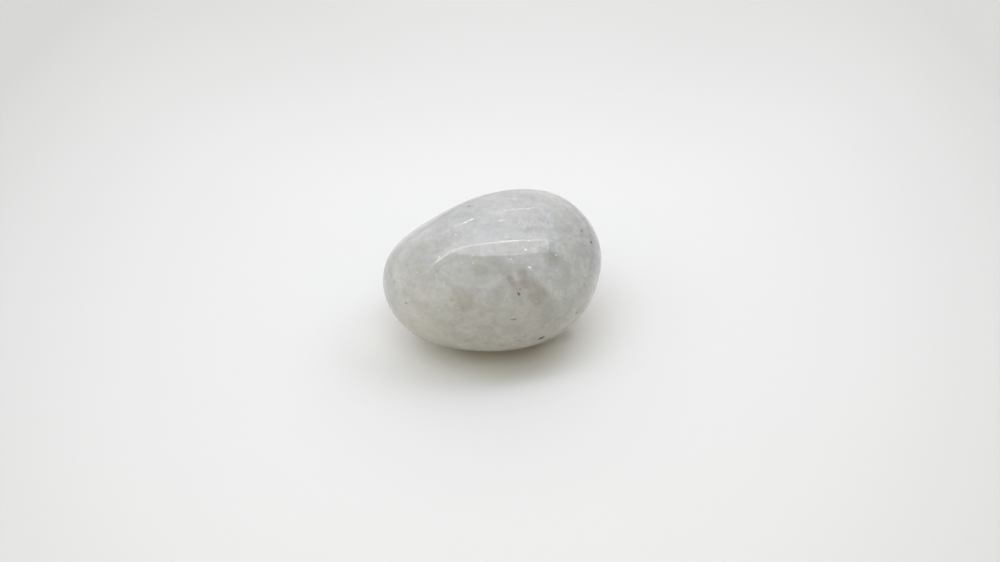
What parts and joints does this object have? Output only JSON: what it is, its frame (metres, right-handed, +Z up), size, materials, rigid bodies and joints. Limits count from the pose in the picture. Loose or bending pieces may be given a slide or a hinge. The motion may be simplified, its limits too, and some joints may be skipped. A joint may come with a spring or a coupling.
{
  "type": "tumbled moonstone",
  "caption": "Tumbled and polished moonstone pebble, a milky grey feldspar stone of smooth lopsided egg shape, to hold, set out or collect.",
  "frame": {"origin": "bottom centre of the stone's box, on the surface it rests on", "axes": "+X along the stone's long axis towards its blunt end, +Y across it, +Z up"},
  "size_m": [0.0352, 0.0278, 0.0228],
  "materials": {
    "milky_stone": "polished"
  },
  "bodies": {
    "root": {"moonstone": "milky_stone"}
  },
  "joints": []
}
